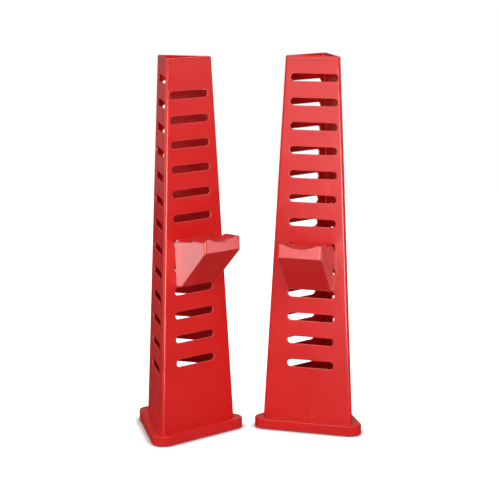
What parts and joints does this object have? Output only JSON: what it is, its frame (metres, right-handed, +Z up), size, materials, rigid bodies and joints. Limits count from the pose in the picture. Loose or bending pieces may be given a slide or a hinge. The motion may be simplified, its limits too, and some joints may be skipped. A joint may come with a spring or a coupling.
{
  "type": "slotted support stand",
  "caption": "Pair of three-sided hollow plastic stands on flanged bases, with staggered slots down each face and a lift-off cradle hooked on each.",
  "frame": {"origin": "middle of the pair's footprint, on the floor", "axes": "+Z up along the stands, +X from the left stand towards the right one, -Y to the front"},
  "size_m": [0.5965, 0.3906, 1],
  "materials": {
    "tower_red": "red moulded plastic, smooth with a soft sheen",
    "rim_red": "red moulded plastic collar, smooth with a soft sheen",
    "base_red": "red moulded plastic, a little duller than the tower",
    "cradle_red": "red moulded plastic with a fine grain",
    "foot_rubber": "black rubber, matt",
    "screw_steel": "plain zinc-plated steel"
  },
  "bodies": {
    "right_stand": {"right_tower": "tower_red", "right_rim": "rim_red", "right_base": "base_red", "right_feet": "foot_rubber", "right_screws": "screw_steel"},
    "left_stand": {"left_tower": "tower_red", "left_rim": "rim_red", "left_base": "base_red", "left_feet": "foot_rubber", "left_screws": "screw_steel"},
    "right_cradle": {"right_cradle": "cradle_red"},
    "left_cradle": {"left_cradle": "cradle_red"}
  },
  "joints": [
    {"name": "stand_apart", "type": "slide", "parent": "right_stand", "child": "left_stand", "axis": [-1, 0, 0], "range_m": [0, 1]},
    {"name": "right_lift", "type": "slide", "parent": "right_stand", "child": "right_cradle", "axis": [-0.221, -0.6493, 0.7277], "range_m": [0, 0.08]},
    {"name": "left_lift", "type": "slide", "parent": "left_stand", "child": "left_cradle", "axis": [0.4463, -0.5207, 0.7277], "range_m": [0, 0.08]}
  ]
}
